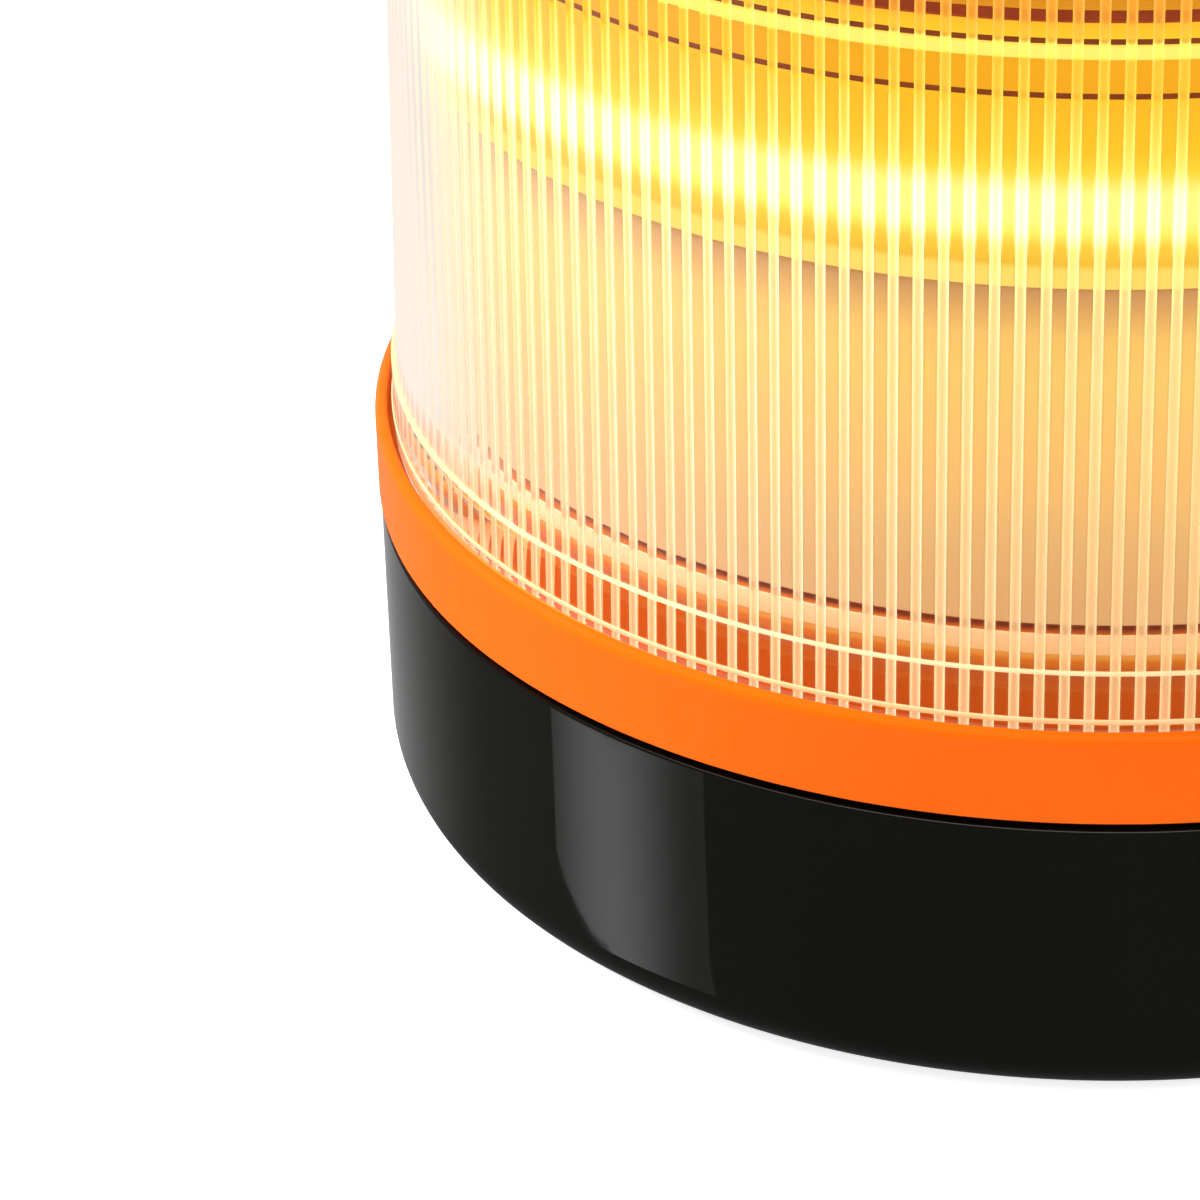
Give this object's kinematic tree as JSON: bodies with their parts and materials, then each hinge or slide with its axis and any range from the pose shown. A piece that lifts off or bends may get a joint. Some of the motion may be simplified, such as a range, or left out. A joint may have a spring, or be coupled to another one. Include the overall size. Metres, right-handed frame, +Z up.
{
  "type": "magnetic strobe beacon",
  "caption": "Round battery strobe beacon with a magnetic black base, an orange ring, a clear fluted lens over an amber light band, a twist-lock joint and a push button on the cap.",
  "frame": {"origin": "on the axis at the underside of the grip pad, where the beacon stands on a roof", "axes": "+Z up along the axis from the magnetic base to the cap; X and Y across the beacon"},
  "size_m": [0.079, 0.079, 0.0724],
  "materials": {
    "black_gloss": "polished black moulding",
    "pad_rubber": "fine matt rubber",
    "pot_steel": "bright zinc plate",
    "magnet_nickel": "nickel plate",
    "screw_steel": "zinc plated",
    "orange_gloss": "glossy orange moulding",
    "seal_black": "moulded silicone",
    "seal_orange": "moulded silicone",
    "tray_black": "fine texture",
    "cell_wrap": "printed wrap over a steel can",
    "contact_metal": "nickel plate",
    "board_green": "solder mask",
    "part_black": "moulded packages",
    "lens_clear": "polished clear moulding",
    "core_white": "white moulding",
    "strip_white": "white flexible board",
    "led_amber": "amber lamp package",
    "light_amber": "translucent diffuser",
    "button_black": "soft touch",
    "switch_grey": "moulded case",
    "lead_grey": "flat ribbon"
  },
  "bodies": {
    "base": {"base_cup": "black_gloss", "grip_pad": "pad_rubber", "magnet_pot": "pot_steel", "ring_magnet": "magnet_nickel", "magnet_screw": "screw_steel"},
    "housing": {"chassis": "orange_gloss", "base_seal": "seal_black", "battery_tray": "tray_black", "tray_screws": "screw_steel", "battery_cells": "cell_wrap", "contact_plates": "contact_metal", "contact_leaves": "contact_metal", "main_board": "board_green", "board_parts": "part_black", "board_screws": "screw_steel", "lens_seal": "seal_orange", "lens": "lens_clear", "lower_reflector": "core_white", "led_hub": "core_white", "led_strip": "strip_white", "leds": "led_amber", "light_ring": "light_amber", "crown": "orange_gloss", "cap_seal": "seal_black", "top_cap": "orange_gloss", "tie_screws": "screw_steel", "switch_body": "switch_grey", "switch_board": "board_green", "switch_screws": "screw_steel", "wire_harness": "lead_grey"},
    "button": {"power_button": "button_black", "switch_plunger": "switch_grey"}
  },
  "joints": [
    {"name": "housing_twist", "type": "hinge", "parent": "base", "child": "housing", "pos_m": [0, 0, 0], "axis": [0, 0, 1], "range_deg": [0, 36]},
    {"name": "button_press", "type": "slide", "parent": "housing", "child": "button", "axis": [0, 0, -1], "range_m": [0, 0.0015], "stiffness_N_per_m": 1200, "springref_m": -0.001}
  ]
}
